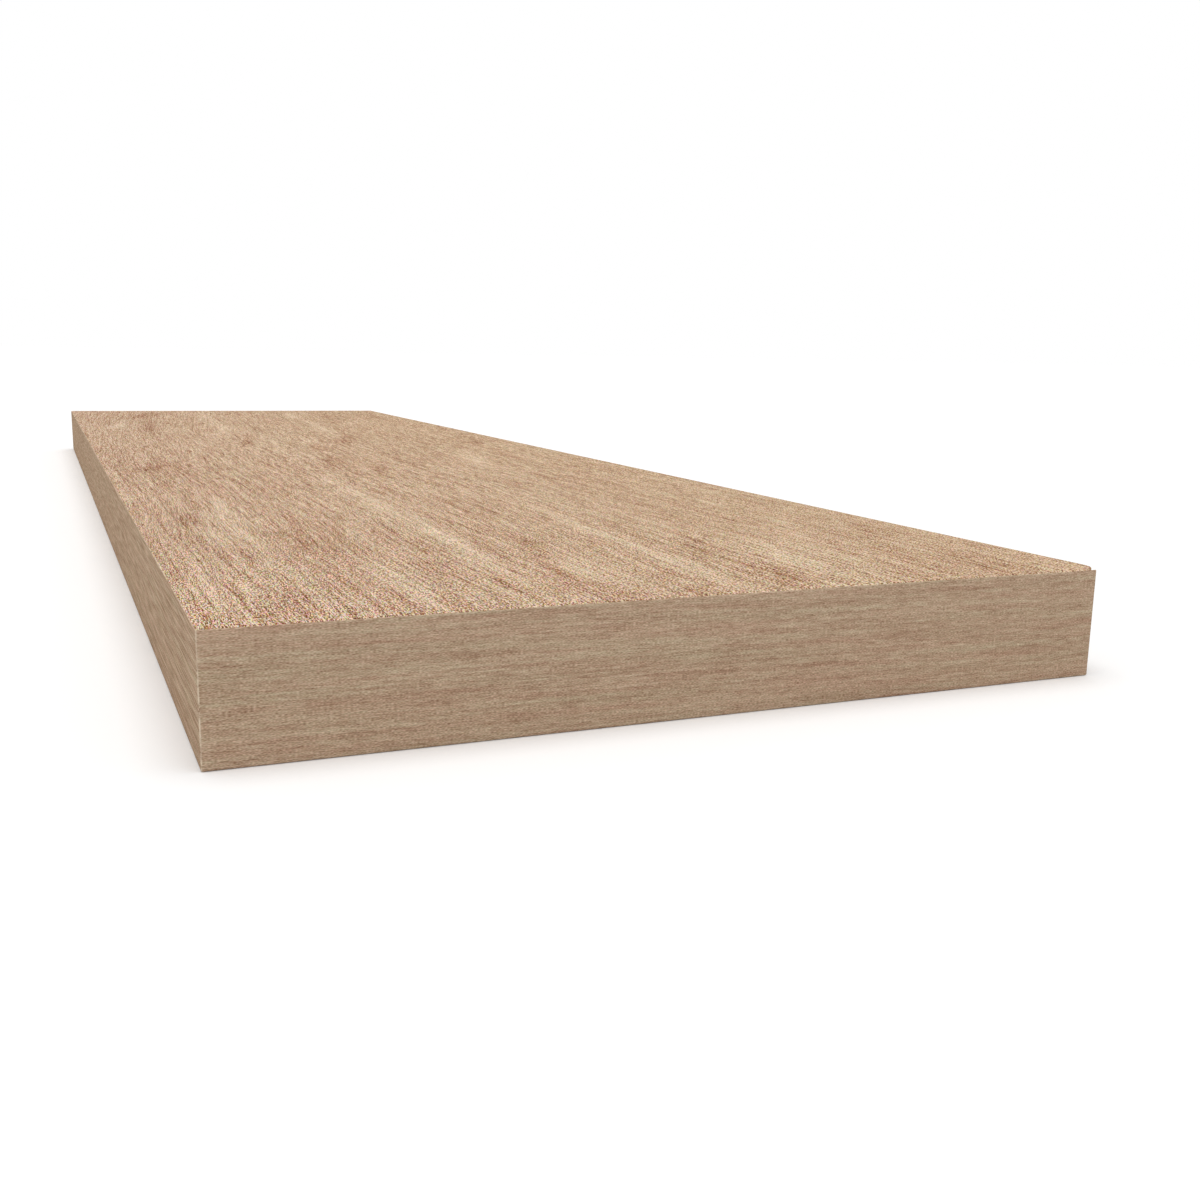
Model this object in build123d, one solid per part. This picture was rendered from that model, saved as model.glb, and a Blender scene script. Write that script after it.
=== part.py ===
from build123d import *
import os

# A retrofit stair tread: a thin board that covers an old step, with a square nosing
# under its front edge and a return under its right end. All three are cut from one
# stock and glued together in mitres, so that the top shows no joint.
# +X runs along the tread to the returned end, -Y is the front and +Z is up.
# The origin is on the floor, under the middle of the tread.

# Driving dimensions, in millimetres
tread_length = 1066.8
tread_depth = 304.8
nosing_height = 38.1
stock_thickness = 15.875
return_setback = 3.2
board_corner_radius = 9.5
arris_radius = 0.6

# Planes that the pieces are set out from
right_end = tread_length / 2
left_end = -tread_length / 2
front = -tread_depth / 2
board_back = tread_depth / 2
return_back = board_back - return_setback
board_underside = nosing_height - stock_thickness

# Each section is drawn in one of these planes: inwards from the outer face, and up
nosing_start = Plane(origin=(left_end, front, 0), x_dir=(0, 1, 0), z_dir=(1, 0, 0))
return_start = Plane(origin=(right_end, front, 0), x_dir=(-1, 0, 0), z_dir=(0, 1, 0))

# The mitre between the nosing and the return stands on the outer corner
corner_mitre = Plane(origin=(right_end, front, 0), z_dir=(1, 1, 0))


def eased_block():
    """The outline of the whole tread, with the edges that are touched in use eased.

    These run along the front, along the returned end and up the corner between the
    two. The sawn end and the back stay square.
    """
    block = Box(
        tread_length,
        tread_depth,
        nosing_height,
        align=(Align.CENTER, Align.CENTER, Align.MIN),
    )
    front_face = block.faces().sort_by(Axis.Y)[0]
    end_face = block.faces().sort_by(Axis.X)[-1]
    front_edges = front_face.edges().filter_by(Axis.X)
    end_edges = end_face.edges().filter_by(Axis.Y)
    corner_edge = front_face.edges().filter_by(Axis.Z).sort_by(Axis.X)[-1]
    return fillet([*front_edges, *end_edges, corner_edge], arris_radius)


def leg_section():
    """The section of the nosing and the return, whose slope is glued to the board."""
    return Polygon(
        (0, 0),
        (stock_thickness, 0),
        (stock_thickness, board_underside),
        (0, nosing_height),
        align=None,
    )


def board_section(width):
    """The board's section across one bevelled edge, out to the far edge."""
    return Polygon(
        (stock_thickness, board_underside),
        (width, board_underside),
        (width, nosing_height),
        (0, nosing_height),
        align=None,
    )


def board_plan():
    """The board seen from above, with its corner over the return's end rounded off."""
    outline = Rectangle(tread_length, tread_depth)
    back_corner = outline.vertices().sort_by(Axis.Y)[-2:].sort_by(Axis.X)[-1]
    return fillet(back_corner, board_corner_radius)


def tread_board():
    """The walking surface: bevelled under its front edge and its returned end."""
    bevelled_front = extrude(nosing_start * board_section(tread_depth), tread_length)
    bevelled_end = extrude(return_start * board_section(tread_length), tread_depth)
    rounded = extrude(board_plan(), nosing_height)
    return bevelled_front & bevelled_end & rounded & eased_block()


def front_nosing():
    """The leg along the front, sawn square at the left and mitred at the corner."""
    leg = extrude(nosing_start * leg_section(), tread_length)
    return split(leg, bisect_by=corner_mitre, keep=Keep.BOTTOM) & eased_block()


def side_return():
    """The leg along the right end, which stops just short of the board's back edge."""
    leg = extrude(return_start * leg_section(), return_back - front)
    return split(leg, bisect_by=corner_mitre, keep=Keep.TOP) & eased_block()


pieces = {
    "tread_board": tread_board(),
    "front_nosing": front_nosing(),
    "side_return": side_return(),
}

os.makedirs("parts", exist_ok=True)
for node, piece in pieces.items():
    piece.label = node
    export_step(piece, f"parts/{node}.step")
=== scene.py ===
import math

import bpy
from mathutils import Euler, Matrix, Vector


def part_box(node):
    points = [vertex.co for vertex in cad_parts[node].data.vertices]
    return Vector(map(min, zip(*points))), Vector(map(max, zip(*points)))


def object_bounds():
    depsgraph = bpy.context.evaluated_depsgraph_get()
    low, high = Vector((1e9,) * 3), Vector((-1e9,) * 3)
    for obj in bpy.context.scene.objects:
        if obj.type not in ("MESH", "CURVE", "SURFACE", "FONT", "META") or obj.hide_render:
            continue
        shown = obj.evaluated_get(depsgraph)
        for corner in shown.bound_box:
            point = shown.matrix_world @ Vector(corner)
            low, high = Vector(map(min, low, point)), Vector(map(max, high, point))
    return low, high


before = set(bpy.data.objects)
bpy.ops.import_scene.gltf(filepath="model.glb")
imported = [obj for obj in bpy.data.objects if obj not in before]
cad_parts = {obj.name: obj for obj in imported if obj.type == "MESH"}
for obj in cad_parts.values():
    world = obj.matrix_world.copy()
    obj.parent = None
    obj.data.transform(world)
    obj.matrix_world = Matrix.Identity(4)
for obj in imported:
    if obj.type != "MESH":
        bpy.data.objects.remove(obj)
cad_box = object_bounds()

# Sizes of the frame, in metres
low, high = cad_box
front = low.y
left_end, right_end = low.x, high.x
top = high.z
return_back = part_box("side_return")[1].y
arris = 0.0006

# Camera, fitted to the tread's edges in the photo
CAMERA_PLACE = (0.86357, -0.18641, 0.11023)
CAMERA_TURN_DEG = (78.817, -1.124, 66.288)
CAMERA_LENS_MM = 38.18
SENSOR_MM = 36.0

# Light: an even sky and one soft lamp straight above
SKY_STRENGTH = 0.52
SUN_STRENGTH = 0.48 * math.pi
SUN_ANGLE_DEG = 50.0
WHITE = (1.0, 1.0, 1.0, 1.0)

# The floor lies a hair under the tread. It reflects FLOOR_GREY, and what sees it is
# shown white, with a little glow
FLOOR_SIZE = 30.0
FLOOR_DROP = 0.0001
FLOOR_GREY = (0.8, 0.8, 0.8, 1.0)
FLOOR_GLOW = 0.06

# The frame's axes, and the millimetres in which the wood is drawn
X, Y, Z = 0, 1, 2
MM = 1000.0

# Each kind of mark is drawn at its own place in the noise, and each layer of it
# a step further on
NOISE_MIDDLE = 0.5
NOISE_PLACES = {
    "layers": (0.0, 7.3),
    "patches": (63.1, 5.7),
    "shifts": (17.7, 3.9),
    "breaks": (29.3, 3.9),
    "hues": (81.7, 6.1),
    "flecks": (40.9, 9.1),
    "rings": (91.3, 0.0),
    "pores": (97.1, 0.0),
}
GRAIN_ROUGHNESS = 0.9
WOOD_ROUGHNESS = 0.85

# Where noise begins and ends to count as a patch, or as a gap in a line
PATCH_RANGE = (0.5, 0.75)
BREAK_RANGE = (0.42, 0.64)

# Lines drift sideways over this length and this number of spacings, by as many
# spacings as SHIFT_REACH, and are deeper where the wood is brown
SHIFT_LENGTH = 220.0
SHIFT_SPACINGS = 3
SHIFT_REACH = 2.4
LINE_DEEPENING = 2.0

# Flecks are shorter towards the back near the returned end only, stand out more from
# one distance to another, and are fainter this far under the face
SHORTER_WITHIN = 300.0
GROWTH_RANGE = (100.0, 600.0)
FAINTER_UNDER = 1.5

# A fleck's hue shows as much in a dark place as in a pale one. Green gives way to red
# and to some of the blue
DARK_HUE, PALE_HUE = 1.4, 0.6
GREEN_LOSS = -0.5
BLUE_IN_GREEN = 0.25

# An arris gets a painted highlight in cream over part of its width, broken up here and there
ARRIS_HIGHLIGHT = (246, 228, 202)
ARRIS_RANGE = (0.45, 0.85)
HIGHLIGHT_BREAK_SCALE = 0.5
HIGHLIGHT_BREAK_RANGE = (0.3, 0.6)

# A sawn end shows growth rings that waver a little, and pores, and is darker
RING_WIDTH = 3.0
RING_WAVER_SIZE, RING_WAVER = 9.0, 1.5
LATE_WOOD_RANGE = (0.35, 1.0)
EARLY_WOOD_TONE, LATE_WOOD_TONE = 0.1, -0.15
PORE_SIZE, PORE_STRENGTH = 0.6, 0.8
CUT_RANGE = (0.02, 0.05)
END_SHADE = (0.78, 0.74, 0.7, 1.0)

# The ramp of tones: steps on each side of its middle, and the most red that it takes
TONE_STEPS = 3
PALEST_RED = 246


def linear(colour):
    """An sRGB colour in 0 to 255 as the linear RGBA that a shader takes."""
    channels = []
    for value in colour:
        share = value / 255
        channels.append(share / 12.92 if share <= 0.04045 else ((share + 0.055) / 1.055) ** 2.4)
    return (*channels, 1.0)


class Graph:
    """A material's node tree, with short calls for the nodes used here."""

    def __init__(self, name):
        self.material = bpy.data.materials.new(name)
        self.material.use_nodes = True
        self.tree = self.material.node_tree
        self.tree.nodes.clear()

    def node(self, kind, **settings):
        made = self.tree.nodes.new(kind)
        for key, value in settings.items():
            setattr(made, key, value)
        return made

    def plug(self, socket, value):
        """Sets an input socket to a number, a tuple or another node's output."""
        if isinstance(value, bpy.types.NodeSocket):
            self.tree.links.new(value, socket)
        else:
            socket.default_value = value

    def math(self, operation, first, second=0.0, third=0.0):
        made = self.node("ShaderNodeMath", operation=operation)
        for socket, value in zip(made.inputs, (first, second, third)):
            self.plug(socket, value)
        return made.outputs[0]

    def vector_math(self, operation, first, second):
        """Sums of vectors. To scale one, the second is a number."""
        made = self.node("ShaderNodeVectorMath", operation=operation)
        self.plug(made.inputs[0], first)
        self.plug(made.inputs["Scale" if operation == "SCALE" else 1], second)
        return made.outputs[0]

    def parts(self, vector):
        """A vector's three numbers."""
        made = self.node("ShaderNodeSeparateXYZ")
        self.plug(made.inputs[0], vector)
        return made.outputs

    def vector(self, x, y, z):
        made = self.node("ShaderNodeCombineXYZ")
        for socket, value in zip(made.inputs, (x, y, z)):
            self.plug(socket, value)
        return made.outputs[0]

    def coordinates(self):
        """The place in the frame, in millimetres, as three outputs."""
        place = self.node("ShaderNodeTexCoord").outputs["Object"]
        return self.parts(self.vector_math("SCALE", place, MM))

    def noise(self, vector, detail=2.0, roughness=0.5, output="Fac"):
        made = self.node("ShaderNodeTexNoise", noise_dimensions="3D")
        self.plug(made.inputs["Vector"], vector)
        self.plug(made.inputs["Scale"], 1.0)
        self.plug(made.inputs["Detail"], detail)
        self.plug(made.inputs["Roughness"], roughness)
        return made.outputs[output]

    def spread(self, value, start, end, to_start=0.0, to_end=1.0, smooth=False):
        """The value mapped from one range to another, clamped."""
        made = self.node("ShaderNodeMapRange", clamp=True)
        if smooth:
            made.interpolation_type = "SMOOTHSTEP"
        self.plug(made.inputs["Value"], value)
        self.plug(made.inputs["From Min"], start)
        self.plug(made.inputs["From Max"], end)
        self.plug(made.inputs["To Min"], to_start)
        self.plug(made.inputs["To Max"], to_end)
        return made.outputs["Result"]

    def ramp(self, value, stops):
        """A colour ramp. Each stop is a position and an sRGB colour in 0 to 255."""
        made = self.node("ShaderNodeValToRGB")
        elements = made.color_ramp.elements
        while len(elements) < len(stops):
            elements.new(0.5)
        for element, (position, colour) in zip(elements, stops):
            element.position = position
            element.color = linear(colour)
        self.plug(made.inputs["Fac"], value)
        return made.outputs["Color"]

    def mix(self, factor, first, second, blend="MIX"):
        made = self.node("ShaderNodeMix", data_type="RGBA", blend_type=blend, clamp_factor=True)
        self.plug(made.inputs["Factor"], factor)
        self.plug(made.inputs[6], first)
        self.plug(made.inputs[7], second)
        return made.outputs[2]

    def surface(self, shader):
        """Makes a shader the material's surface."""
        output = self.node("ShaderNodeOutputMaterial")
        self.plug(output.inputs["Surface"], shader)


class Oak(Graph):
    """Oak whose grain runs along one axis of the frame.

    along, across and depth pick the frame's axes. figure says how the grain is drawn:
    lengths and widths are in millimetres, and strengths are shares of the whole range
    of tones.
    """

    def __init__(self, name, along, across, depth, figure):
        super().__init__(name)
        self.figure = figure
        self.place = self.coordinates()
        self.section = (self.place[across], self.place[depth])
        self.a, self.d = self.place[along], self.place[depth]
        self.from_end = self.math("SUBTRACT", right_end * MM, self.a)

        # The bands waver, the lines follow them and also wander further, and past the
        # middle of the piece both bend off to one side
        self.band = self.wandered(self.place[across], *figure["waver"])
        past = self.math("MAXIMUM", self.math("SUBTRACT", figure["bend_start"], self.a), 0.0)
        bend = self.math("MULTIPLY", self.math("MULTIPLY", past, past), figure["bend"])
        self.c = self.wandered(self.math("SUBTRACT", self.band, bend), *figure["wander"])
        self.back_share = self.spread(self.c, front * MM, -front * MM)

    def wandered(self, c, length, width, reach):
        """The place across the grain, moved to each side on the way along the piece."""
        drift = self.noise(self.vector(
            self.math("MULTIPLY", self.a, 1 / length),
            self.math("MULTIPLY", c, 1 / width),
            self.math("MULTIPLY", self.d, 1 / width),
        ), detail=1.0)
        moved = self.math("MULTIPLY", self.math("SUBTRACT", drift, NOISE_MIDDLE), reach)
        return self.math("ADD", c, moved)

    def grain(self, kind, layer, length, width, detail=0.0, output="Fac", place=None):
        """Noise drawn out along the grain."""
        a, c, d = place or (self.a, self.c, self.d)
        first, step = NOISE_PLACES[kind]
        return self.noise(self.vector(
            self.math("MULTIPLY", a, 1 / length),
            self.math("ADD", self.math("MULTIPLY", c, 1 / width), first + step * layer),
            self.math("MULTIPLY", d, 1 / width),
        ), detail=detail, roughness=GRAIN_ROUGHNESS, output=output)

    def off_middle(self, kind, layer, length, width, strength, detail=0.0):
        """Noise to both sides of nought."""
        drawn = self.grain(kind, layer, length, width, detail)
        return self.math("MULTIPLY", self.math("SUBTRACT", drawn, NOISE_MIDDLE), strength)

    def towards_back(self, at_front, at_back):
        """A number that changes from the front to the back."""
        return self.math("MULTIPLY_ADD", self.back_share, at_back - at_front, at_front)

    def streak(self, start, start_across, stop, stop_across, width, strength):
        """One long soft streak, from a start to a stop."""
        slope = (stop_across - start_across) / (stop - start)
        middle_along = (start + stop) / 2
        one = self.math("SUBTRACT", self.from_end, middle_along)
        one = self.math("MULTIPLY", one, 2 / (stop - start))
        middle_across = front * MM + start_across - slope * start
        middle = self.math("MULTIPLY_ADD", self.from_end, slope, middle_across)
        other = self.math("MULTIPLY", self.math("SUBTRACT", self.band, middle), 2 / width)
        squares = self.math("ADD", self.math("MULTIPLY", one, one), self.math("MULTIPLY", other, other))
        falling = self.math("EXPONENT", self.math("MULTIPLY", squares, -1.0))
        return self.math("MULTIPLY", falling, strength)

    def bands(self):
        """The tone of the figure: its bands, its darker patches and its streaks."""
        tone = 0.0
        for layer, (length, width, detail, *strengths) in enumerate(self.figure["layers"]):
            strength = self.towards_back(*strengths)
            share = self.off_middle("layers", layer, length, width, strength, detail)
            tone = self.math("ADD", tone, share)
        for layer, (length, width, strength) in enumerate(self.figure["patches"]):
            patch = self.grain("patches", layer, length, width, detail=1.0)
            patch = self.spread(patch, *PATCH_RANGE, smooth=True)
            tone = self.math("SUBTRACT", tone, self.math("MULTIPLY", patch, strength))
        for extent in self.figure["browns"]:
            tone = self.math("SUBTRACT", tone, self.streak(*extent))
        for extent in self.figure["pales"]:
            tone = self.math("ADD", tone, self.streak(*extent))
        return tone

    def lined(self, tone):
        """The tone with thin dark lines at uneven distances, broken up.

        They are strongest in the brown parts, and lean through the thickness, so that
        an edge shows lines as well.
        """
        brown = self.math("MINIMUM", tone, 0.0)
        deeper = self.math("SUBTRACT", 1.0, self.math("MULTIPLY", brown, LINE_DEEPENING))
        leaning = self.math("ADD", self.c, self.math("SUBTRACT", self.d, self.figure["face"]))
        for layer, (spacing, thin, dash, strength) in enumerate(self.figure["lines"]):
            shift = self.grain("shifts", layer, SHIFT_LENGTH, SHIFT_SPACINGS * spacing)
            shift = self.math("MULTIPLY", shift, SHIFT_REACH)
            count = self.math("ADD", self.math("DIVIDE", leaning, spacing), shift)
            away = self.math("ABSOLUTE", self.math("SUBTRACT", self.math("FRACT", count), 0.5))
            line = self.spread(away, 0.0, thin / spacing, 1.0, 0.0, smooth=True)
            broken = self.spread(self.grain("breaks", layer, dash, spacing, 1.0), *BREAK_RANGE)
            line = self.math("MULTIPLY", self.math("MULTIPLY", line, broken), strength)
            tone = self.math("SUBTRACT", tone, self.math("MULTIPLY", line, deeper))
        return tone

    def flecks(self):
        """Pores and single fibres: how far each changes the tone, the red and the blue."""
        shorter, wider = self.figure["back"]
        near = self.math("MULTIPLY", self.math("MINIMUM", self.from_end, SHORTER_WITHIN), shorter)
        width_share = self.math("MULTIPLY_ADD", self.back_share, -wider, 1.0)
        place = (
            self.math("MULTIPLY_ADD", near, self.back_share, self.from_end),
            self.math("MULTIPLY", self.c, width_share),
            self.math("SUBTRACT", self.d, self.figure["face"]),
        )
        under = self.math("SUBTRACT", self.figure["face"], self.d)
        shown = self.spread(under, 0.0, FAINTER_UNDER, 1.0, self.figure["under_face"])
        total = (0.0, 0.0, 0.0)
        for layer, (length, width, strength, hue, grown) in enumerate(self.figure["flecks"]):
            drawn = self.grain("flecks", layer, length, width, output="Color", place=place)
            drawn = self.vector_math("SUBTRACT", drawn, (NOISE_MIDDLE,) * 3)
            coloured = (strength, strength * hue, strength * hue)
            drawn = self.vector_math("MULTIPLY", drawn, coloured)
            further = self.spread(self.from_end, *GROWTH_RANGE, 1.0, grown)
            drawn = self.vector_math("SCALE", drawn, self.math("MULTIPLY", further, shown))
            total = self.vector_math("ADD", drawn, total)
        return self.parts(total)

    def wood(self):
        """The colour of the wood along the grain."""
        figure = self.figure
        figured = self.lined(self.bands())

        # Brown parts are redder and less blue, and the hue also changes by itself
        warmth = self.math("MINIMUM", figured, figure["cool_from"])
        warmth = self.math("MULTIPLY", warmth, -figure["warm"])
        for layer, (length, width, strength) in enumerate(figure["hues"]):
            share = self.off_middle("hues", layer, length, width, strength)
            warmth = self.math("ADD", warmth, share)

        fleck = self.flecks()
        tone = self.math("ADD", self.math("ADD", figured, fleck[0]), NOISE_MIDDLE)
        even = self.spread(tone, 0.0, 1.0, DARK_HUE, PALE_HUE)
        even = self.math("MULTIPLY", even, self.towards_back(1.0, figure["back_hue"]))
        red = self.math("MULTIPLY", self.math("MULTIPLY", fleck[1], figure["red"]), even)
        red = self.math("ADD", red, warmth)
        blue = self.math("MULTIPLY", self.math("MULTIPLY", fleck[2], figure["blue"]), even)
        blue = self.math("MULTIPLY_ADD", figured, figure["cool"], blue)
        blue = self.math("MULTIPLY_ADD", self.back_share, figure["back_blue"], blue)
        green = self.math("ADD", red, self.math("MULTIPLY", blue, BLUE_IN_GREEN))
        green = self.math("MULTIPLY", green, GREEN_LOSS)
        tint = self.vector(*[self.math("ADD", share, 1.0) for share in (red, green, blue)])
        return self.mix(1.0, self.ramp(tone, figure["tones"]), tint, "MULTIPLY")

    def beside(self, axis, face):
        """1 within an arris's width of a flat face of the frame, and 0 further in."""
        away = self.math("ABSOLUTE", self.math("SUBTRACT", self.place[axis], face * MM))
        start, end = (share * arris * MM for share in ARRIS_RANGE)
        return self.spread(away, start, end, 1.0, 0.0)

    def painted_highlight(self, colour, one, other, low_share, top_share):
        """The colour, with a painted highlight in cream along the eased edge between two faces."""
        share = self.math("MULTIPLY", self.beside(*one), self.beside(*other))
        height = self.spread(self.place[Z], 0.0, top * MM, low_share, top_share)
        scaled = [self.math("MULTIPLY", part, HIGHLIGHT_BREAK_SCALE) for part in self.place]
        uneven = self.spread(self.noise(self.vector(*scaled)), *HIGHLIGHT_BREAK_RANGE)
        share = self.math("MULTIPLY", self.math("MULTIPLY", share, height), uneven)
        # Painted highlight: cream mixed in along the edge, broken up by noise
        return self.mix(share, colour, linear(ARRIS_HIGHLIGHT))

    def sawn(self, colour, cut, pith):
        """The colour, with growth rings and pores cut across where the piece is sawn.

        pith is the middle of the rings, across and through the piece.
        """
        sides = [self.math("SUBTRACT", part, at) for part, at in zip(self.section, pith)]
        squares = self.math("ADD", *[self.math("MULTIPLY", side, side) for side in sides])
        count = self.math("DIVIDE", self.math("SQRT", squares), RING_WIDTH)
        waver = self.grain("rings", 0, RING_WAVER_SIZE, RING_WAVER_SIZE)
        count = self.math("ADD", count, self.math("MULTIPLY", waver, RING_WAVER))
        ring = self.math("FRACT", count)
        ring = self.spread(ring, *LATE_WOOD_RANGE, EARLY_WOOD_TONE, LATE_WOOD_TONE)
        pores = self.grain("pores", 0, PORE_SIZE, PORE_SIZE)
        pores = self.math("MULTIPLY", pores, PORE_STRENGTH)
        end_colour = self.ramp(self.math("ADD", ring, pores), self.figure["tones"])
        end_colour = self.mix(1.0, end_colour, END_SHADE, "MULTIPLY")
        off_cut = self.math("ABSOLUTE", self.math("SUBTRACT", self.a, cut * MM))
        return self.mix(self.spread(off_cut, *CUT_RANGE, 1.0, 0.0), colour, end_colour)

    def finish(self, colour):
        """Makes a colour the wood's matt surface."""
        shader = self.node("ShaderNodeBsdfPrincipled")
        self.plug(shader.inputs["Base Color"], colour)
        self.plug(shader.inputs["Roughness"], WOOD_ROUGHNESS)
        self.plug(shader.inputs["Specular IOR Level"], self.figure["gloss"])
        self.surface(shader.outputs[0])


def tones(middle, slope, reach=90, pale_loss=0.35):
    """Stops of a ramp from a dark brown through the middle colour to a cream.

    slope is how far each channel moves with the tone. The pale half is drawn in, so
    that dark flecks stand out more than pale ones.
    """
    stops = []
    highest = (PALEST_RED - middle[0]) / slope[0]
    for step in range(2 * TONE_STEPS + 1):
        share = step / TONE_STEPS - 1
        level = min(reach * (share - pale_loss * max(share, 0) ** 2), highest)
        colour = [max(m + level * k, 0) for m, k in zip(middle, slope)]
        stops.append((step / (2 * TONE_STEPS), colour))
    return stops


# Streaks that stand out on the board. Each is given as where it starts and where it
# ends, from the returned end and from the front, then its width and its strength
BROWN_STREAKS = [
    (0, 52, 60, 49, 5, 0.07),
    (10, 22, 70, 26, 6, 0.05),
    (75, 56, 200, 57, 24, 0.05),
    (90, 47, 200, 62, 5, 0.07),
    (110, 21, 160, 16, 8, 0.05),
    (120, 66, 190, 76, 6, 0.07),
    (140, 91, 190, 93, 5, 0.07),
    (190, 20, 230, 24, 8, 0.15),
    (15, 115, 140, 136, 6, 0.08),
    (0, 154, 80, 157, 5, 0.11),
    (0, 184, 40, 191, 12, 0.07),
    (65, 186, 108, 197, 10, 0.09),
    (160, 158, 185, 167, 6, 0.07),
    (215, 200, 265, 212, 8, 0.08),
    (175, 227, 225, 229, 8, 0.07),
    (0, 246, 60, 254, 6, 0.08),
    (10, 268, 60, 278, 12, 0.08),
    (80, 270, 125, 286, 12, 0.08),
    (300, 97, 335, 99, 8, 0.08),
    (320, 20, 370, 28, 9, 0.08),
    (410, 15, 470, 36, 18, 0.17),
    (425, 126, 500, 142, 14, 0.11),
    (370, 144, 430, 152, 8, 0.11),
    (400, 175, 520, 180, 7, 0.11),
    (430, 250, 530, 262, 9, 0.08),
    (570, 262, 640, 285, 14, 0.11),
    (590, 102, 680, 114, 10, 0.12),
    (590, 165, 700, 200, 16, 0.11),
    (700, 48, 910, 60, 11, 0.11),
    (930, 45, 1040, 85, 24, 0.1),
    (840, 214, 1000, 240, 16, 0.1),
    (910, 278, 980, 286, 12, 0.08),
    (740, 130, 800, 140, 8, 0.08),
]
PALE_STREAKS = [
    (20, 10, 110, 9, 8, 0.08),
    (10, 39, 230, 34, 6, 0.08),
    (190, 36, 275, 41, 7, 0.11),
    (5, 67, 95, 68, 8, 0.15),
    (50, 95, 130, 106, 6, 0.09),
    (110, 106, 300, 108, 7, 0.12),
    (30, 102, 190, 112, 5, 0.11),
    (225, 102, 400, 116, 7, 0.12),
    (30, 128, 90, 137, 14, 0.07),
    (40, 140, 85, 146, 5, 0.07),
    (5, 162, 100, 168, 6, 0.16),
    (90, 168, 210, 174, 7, 0.12),
    (5, 204, 110, 222, 18, 0.12),
    (80, 235, 150, 262, 12, 0.05),
    (270, 160, 315, 168, 8, 0.08),
    (190, 258, 220, 266, 7, 0.08),
    (280, 12, 340, 14, 7, 0.07),
    (400, 215, 510, 235, 14, 0.15),
    (420, 260, 480, 268, 8, 0.09),
    (540, 118, 640, 127, 8, 0.16),
    (600, 145, 660, 160, 10, 0.12),
    (700, 100, 860, 118, 15, 0.14),
    (690, 185, 900, 200, 12, 0.13),
    (920, 195, 1010, 205, 12, 0.15),
    (780, 20, 860, 40, 14, 0.12),
    (880, 112, 1040, 122, 10, 0.12),
]

# How each kind of piece is drawn.
# waver and wander: length, width and reach of the drift across the grain.
# layers: length, width, detail, and strength at the front and at the back.
# patches and hues: length, width, strength.
# lines: spacing, thickness, length of a dash, strength.
# flecks: length, width, strength, share of hue, and how much stronger further off.
# face and under_face: the height flecks are drawn from, and their share below it.
# back, back_hue and back_blue: at the back, how much shorter and wider the flecks are,
# their share of hue, and how the blue changes.
BOARD_FIGURE = {
    "waver": (24.0, 12.0, 2.6),
    "wander": (300.0, 90.0, 20.0),
    "bend_start": 30.0,
    "bend": 0.0001,
    "layers": [
        (50.0, 1.6, 0.0, 0.3, 0.28),
        (30.0, 0.8, 1.0, 0.0, 0.32),
        (90.0, 3.5, 1.0, 0.3, 0.27),
        (180.0, 11.0, 0.0, 0.09, 0.05),
        (360.0, 20.0, 0.0, 0.03, 0.03),
    ],
    "patches": [],
    "browns": BROWN_STREAKS,
    "pales": PALE_STREAKS,
    "lines": [(6.5, 0.6, 28.0, 0.16), (3.4, 0.4, 18.0, 0.15)],
    "warm": 0.2,
    "cool_from": 0.03,
    "cool": 0.08,
    "hues": [(60.0, 5.0, 0.04), (200.0, 20.0, 0.03)],
    "flecks": [
        (1.9, 0.34, 1.95, 1.15, 0.8),
        (9.0, 0.6, 0.55, 0.4, 1.4),
        (22.0, 0.9, 0.35, 0.3, 1.4),
    ],
    "face": top * MM,
    "under_face": 0.4,
    "back": (1.0, 0.15),
    "back_hue": 0.55,
    "back_blue": -0.05,
    "red": 0.42,
    "blue": 1.15,
    "gloss": 0.02,
    "tones": tones((197, 165.5, 138), (0.9, 1.045, 1.05), reach=110, pale_loss=0.25),
}
EDGE_FIGURE = {
    "waver": (40.0, 8.0, 1.0),
    "wander": (300.0, 60.0, 6.0),
    "bend_start": 0.0,
    "bend": 0.0,
    "layers": [
        (70.0, 1.8, 3.0, 0.4, 0.4),
        (9.0, 0.9, 2.0, 0.3, 0.3),
    ],
    "patches": [(16.0, 2.6, 0.04), (40.0, 5.0, 0.03)],
    "browns": [],
    "pales": [],
    "lines": [],
    "warm": 0.35,
    "cool_from": 1.0,
    "cool": 0.0,
    "hues": [(50.0, 2.5, 0.07), (120.0, 7.0, 0.05)],
    "flecks": [
        (0.8, 0.2, 0.6, 1.0, 1.0),
        (2.4, 0.25, 0.3, 1.0, 1.0),
    ],
    "face": 0.0,
    "under_face": 1.0,
    "back": (0.0, 0.0),
    "back_hue": 1.0,
    "back_blue": 0.0,
    "red": 0.15,
    "blue": 0.2,
    "gloss": 0.0,
    "tones": tones((197, 169, 142), (0.97, 1.02, 1.0)),
}

# The nosing is seen along its grain, so its lines are longer. Its tones are a little darker than the
# other edges, as painted shade
NOSING_FIGURE = {
    **EDGE_FIGURE,
    "layers": [
        (600.0, 2.0, 2.0, 0.15, 0.15),
        (150.0, 1.0, 3.0, 0.32, 0.32),
        (9.0, 0.9, 2.0, 0.24, 0.24),
    ],
    "patches": [(40.0, 5.0, 0.02)],
    "hues": [(200.0, 2.0, 0.05)],
    "flecks": [
        (0.8, 0.2, 0.6, 1.0, 1.0),
        (20.0, 0.5, 0.5, 1.0, 1.0),
    ],
    # Painted shade: a middle tone two steps darker than the return's
    "tones": tones((195, 167, 140), (0.97, 1.02, 1.0)),
}

# The eased edges that get a painted highlight: the two faces that meet there, and how strong
# # the highlight is at the foot and at the top
corner_highlight = ((X, right_end), (Y, front), 1.0, 0.6)
front_highlight = ((Y, front), (Z, top), 0.3, 0.3)


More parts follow.
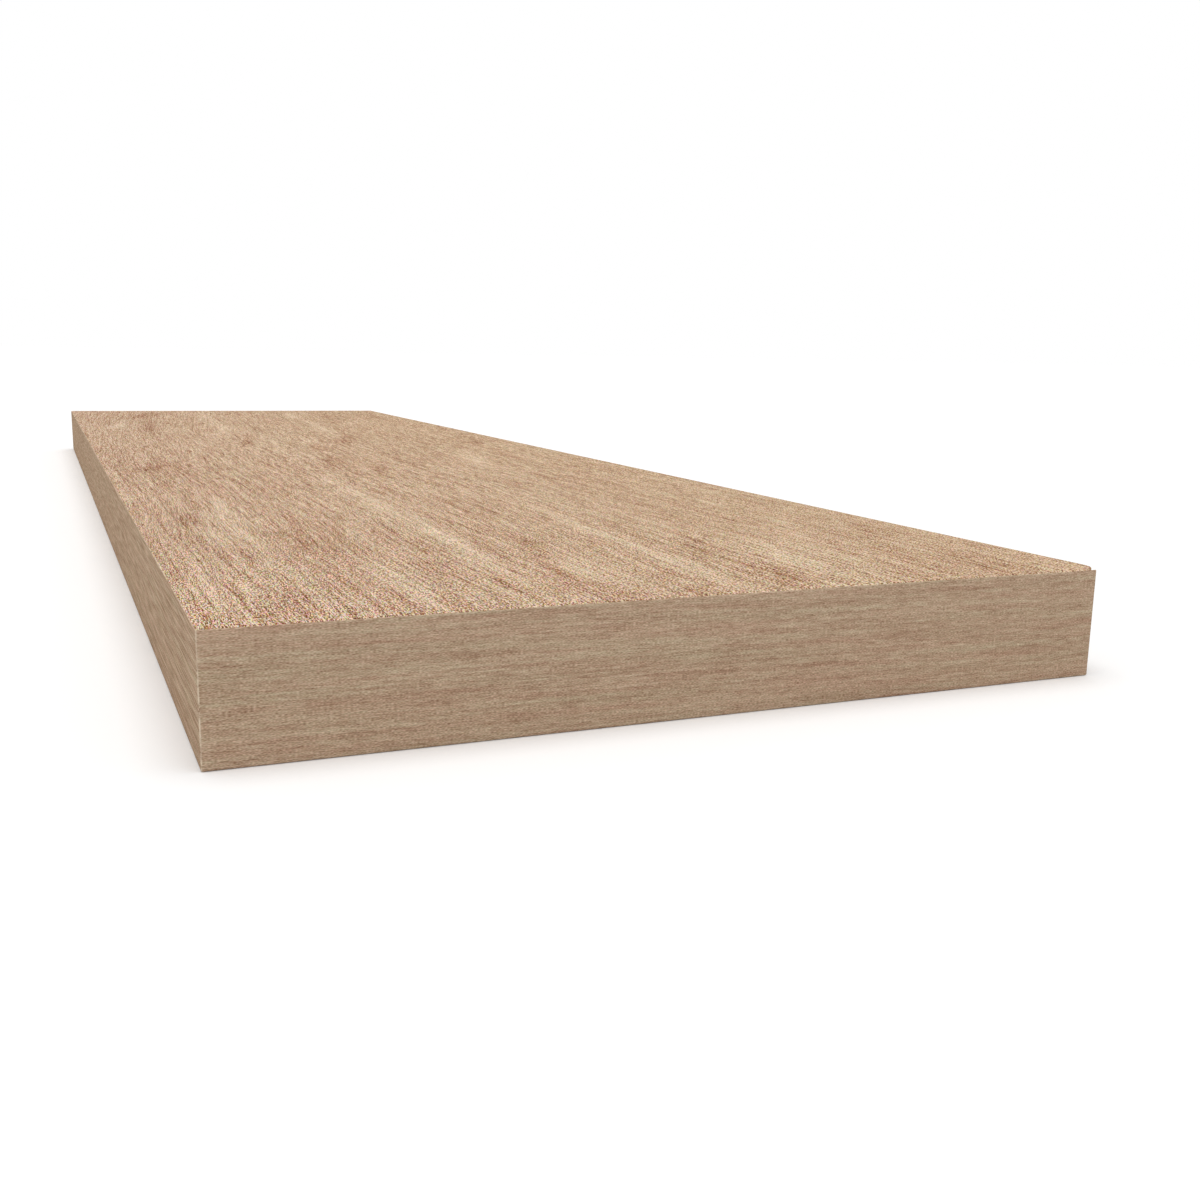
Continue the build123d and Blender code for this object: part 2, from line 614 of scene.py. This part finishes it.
def dress(node, name, axes, figure, highlighted_arrises, cut, pith):
    """Gives a CAD node its oak in place of the plain material."""
    oak = Oak(name, *axes, figure)
    colour = oak.wood()
    # Each listed arris gets a painted highlight
    for edge in highlighted_arrises:
        colour = oak.painted_highlight(colour, *edge)
    oak.finish(oak.sawn(colour, cut, pith))
    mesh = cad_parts[node].data
    mesh.materials.clear()
    mesh.materials.append(oak.material)


def dress_all():
    """Dresses the three pieces. The rings' middles lie under each, to one side of it."""
    dress(
        "tread_board", "board_oak", (X, Y, Z), BOARD_FIGURE,
        [front_highlight], left_end, (-20.0, -60.0),
    )
    dress(
        "front_nosing", "nosing_oak", (X, Z, Y), NOSING_FIGURE,
        [corner_highlight, front_highlight], left_end, (-30.0, -110.0),
    )
    dress(
        "side_return", "return_oak", (Y, Z, X), EDGE_FIGURE,
        [corner_highlight], return_back, (-30.0, 480.0),
    )


def camera_ray_share(g):
    """1 where a camera, mirror or clear ray meets the surface, so that glass shows white."""
    path = g.node("ShaderNodeLightPath")
    seen = g.math("MAXIMUM", path.outputs["Is Camera Ray"], path.outputs["Is Glossy Ray"])
    return g.math("MAXIMUM", seen, path.outputs["Is Transmission Ray"])


def floor():
    """A white floor. What sees it is shown a little more light than it gives."""
    bpy.ops.mesh.primitive_plane_add(size=FLOOR_SIZE, location=(0.0, 0.0, -FLOOR_DROP))
    plane = bpy.context.object
    plane.name = "studio_floor"
    g = Graph("studio_floor")
    shader = g.node("ShaderNodeBsdfDiffuse")
    seen = camera_ray_share(g)
    g.plug(shader.inputs["Color"], g.mix(seen, FLOOR_GREY, WHITE))
    glow = g.node("ShaderNodeEmission")
    g.plug(glow.inputs["Strength"], g.math("MULTIPLY", seen, FLOOR_GLOW))
    both = g.node("ShaderNodeAddShader")
    g.plug(both.inputs[0], shader.outputs[0])
    g.plug(both.inputs[1], glow.outputs[0])
    g.surface(both.outputs[0])
    plane.data.materials.append(g.material)


def sky():
    """An even white surrounding that lights softly and is seen as plain white."""
    world = bpy.data.worlds.new("studio")
    world.use_nodes = True
    bpy.context.scene.world = world
    tree = world.node_tree
    background = tree.nodes["Background"]
    path = tree.nodes.new("ShaderNodeLightPath")
    strength = tree.nodes.new("ShaderNodeMapRange")
    strength.inputs["To Min"].default_value = SKY_STRENGTH
    strength.inputs["To Max"].default_value = 1.0
    seen = path.outputs["Is Camera Ray"]
    for other in ("Is Glossy Ray", "Is Transmission Ray"):
        either = tree.nodes.new("ShaderNodeMath")
        either.operation = "MAXIMUM"
        tree.links.new(seen, either.inputs[0])
        tree.links.new(path.outputs[other], either.inputs[1])
        seen = either.outputs[0]
    tree.links.new(seen, strength.inputs["Value"])
    tree.links.new(strength.outputs["Result"], background.inputs["Strength"])
    background.inputs["Color"].default_value = WHITE


def lamp():
    """One soft lamp straight above, so that both upright faces are equally shaded."""
    light = bpy.data.lights.new("overhead_lamp", "SUN")
    light.energy = SUN_STRENGTH
    light.angle = math.radians(SUN_ANGLE_DEG)
    holder = bpy.data.objects.new("overhead_lamp", light)
    holder.location = (0.0, 0.0, 2.0)
    bpy.context.scene.collection.objects.link(holder)


def camera():
    """The photo's viewpoint, past the returned end and a little above the top."""
    data = bpy.data.cameras.new("photo_camera")
    data.sensor_width = SENSOR_MM
    data.lens = CAMERA_LENS_MM
    data.clip_start = 0.01
    holder = bpy.data.objects.new("photo_camera", data)
    holder.location = CAMERA_PLACE
    holder.rotation_euler = Euler([math.radians(angle) for angle in CAMERA_TURN_DEG])
    bpy.context.scene.collection.objects.link(holder)
    bpy.context.scene.camera = holder


dress_all()
floor()
sky()
lamp()
camera()
bpy.context.scene.view_settings.view_transform = "Standard"
